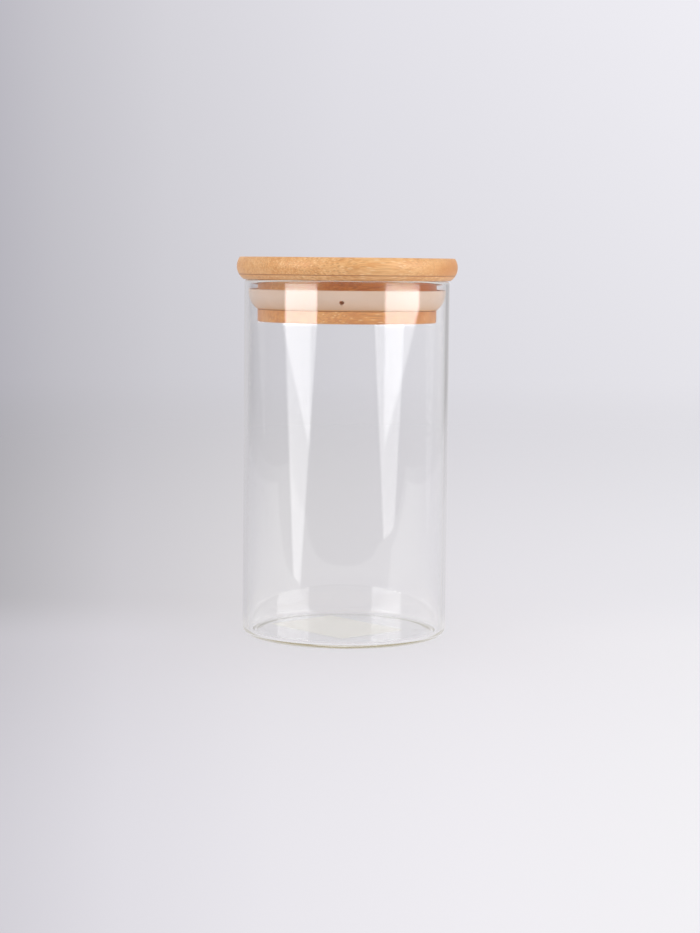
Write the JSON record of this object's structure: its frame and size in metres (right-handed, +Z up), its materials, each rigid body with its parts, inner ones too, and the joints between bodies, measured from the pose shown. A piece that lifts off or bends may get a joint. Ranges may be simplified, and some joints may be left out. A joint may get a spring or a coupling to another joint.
{
  "type": "lidded glass canister",
  "caption": "Straight round glass storage canister with a laminated bamboo lid that lifts out of its mouth and a silicone lip seal around the lid's plug.",
  "frame": {"origin": "centre of the jar's base, on the plane it stands on", "axes": "+Z up along the jar's axis, towards the lid; -Y towards the side with the vent hole in the seal; +X to the right of that side"},
  "size_m": [0.1074, 0.1074, 0.1843],
  "materials": {
    "glass": "clear fire-polished borosilicate glass",
    "bamboo": "sanded and lightly oiled laminated bamboo",
    "silicone": "translucent milky silicone, satin",
    "paper": "blank uncoated label paper"
  },
  "bodies": {
    "jar": {"glass_jar": "glass", "base_label": "paper"},
    "seal": {"seal_ring": "silicone"},
    "lid": {"lid_top_ply": "bamboo", "lid_rim_ply": "bamboo", "lid_groove_ply": "bamboo", "lid_flange_ply": "bamboo"}
  },
  "joints": [
    {"name": "lid_lift", "type": "slide", "parent": "jar", "child": "seal", "axis": [0, 0, 1], "range_m": [0, 0.1]},
    {"name": "lid_turn", "type": "hinge", "parent": "seal", "child": "lid", "pos_m": [0, 0, 0.1735], "axis": [0, 0, 1], "continuous": true}
  ]
}
